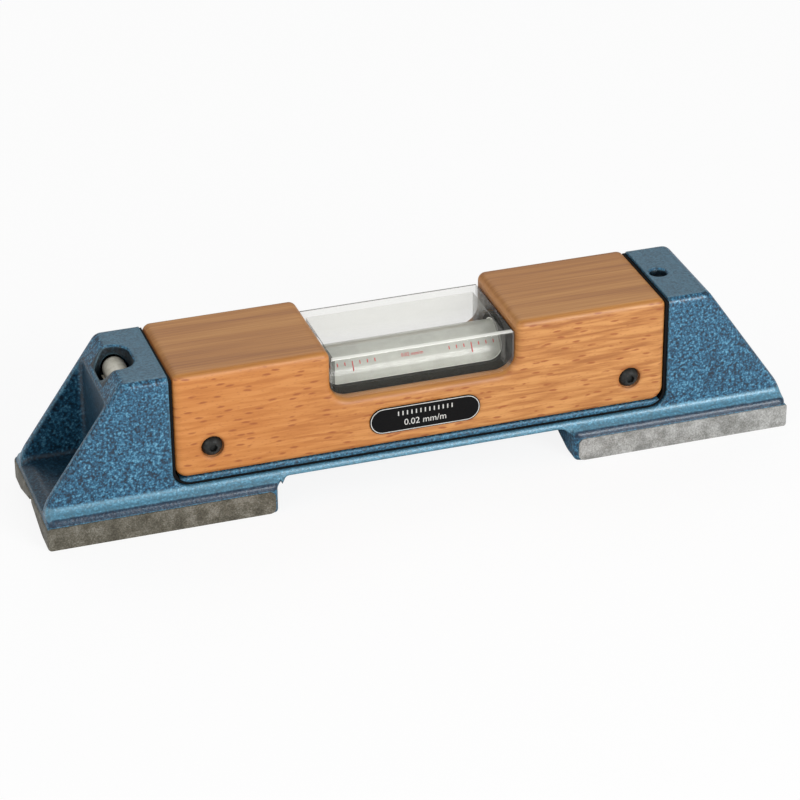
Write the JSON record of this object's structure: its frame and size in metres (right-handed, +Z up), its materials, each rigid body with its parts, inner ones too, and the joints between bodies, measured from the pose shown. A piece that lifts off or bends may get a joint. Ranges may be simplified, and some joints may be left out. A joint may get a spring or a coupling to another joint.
{
  "type": "precision level",
  "caption": "Machinist's block level: painted cast base with V-grooved ground soles, wooden hood, clear window over an adjustable main vial, and a cross vial in the end block.",
  "frame": {"origin": "middle of the sole plane, under the middle of the level", "axes": "+X along the level towards the adjusting screw, +Y from the plate's face to the back, +Z up"},
  "size_m": [0.2, 0.039, 0.0413],
  "materials": {
    "casting_paint": "hammertone",
    "seal_rubber": "matte",
    "hood_wood": "satin varnish",
    "cover_clear": "clear",
    "screw_black": "black oxide",
    "plate_black": "anodised",
    "block_aluminium": "milled",
    "pin_steel": "ground",
    "carrier_black": "black anodised",
    "vial_glass": "clear",
    "vial_fluid": "clear",
    "plaster_white": "matte",
    "nut_brass": "machined"
  },
  "bodies": {
    "level_body": {"base_casting": "casting_paint", "hood_seal": "seal_rubber", "wood_hood": "hood_wood", "window_cover": "cover_clear", "hood_screws_front": "screw_black", "hood_screws_back": "screw_black", "data_plate": "plate_black", "mount_block_left": "block_aluminium", "mount_block_right": "block_aluminium", "mount_block_screws": "screw_black", "pivot_pin": "pin_steel", "screw_retainer": "pin_steel", "cross_vial_glass": "vial_glass", "cross_vial_fluid": "vial_fluid", "cross_vial_plaster": "plaster_white", "cross_vial_plug": "seal_rubber"},
    "vial_unit": {"vial_carrier": "carrier_black", "carrier_cap_left": "carrier_black", "carrier_cap_right": "carrier_black", "main_vial_glass": "vial_glass", "main_vial_fluid": "vial_fluid", "main_vial_cement": "plaster_white", "adjusting_nut": "nut_brass"},
    "screw": {"adjusting_screw": "screw_black"}
  },
  "joints": [
    {"name": "vial_tilt", "type": "hinge", "parent": "level_body", "child": "vial_unit", "pos_m": [-0.056, 0, 0.02], "axis": [0, 1, 0], "range_deg": [-0.2277, 0.2277]},
    {"name": "screw_turn", "type": "hinge", "parent": "level_body", "child": "screw", "pos_m": [0.0698, 0, 0.03], "axis": [0, 0, 1], "range_deg": [-360, 360]}
  ],
  "couplings": [
    {"joint": "screw_turn", "follows": "vial_tilt", "ratio": 1580.8}
  ]
}
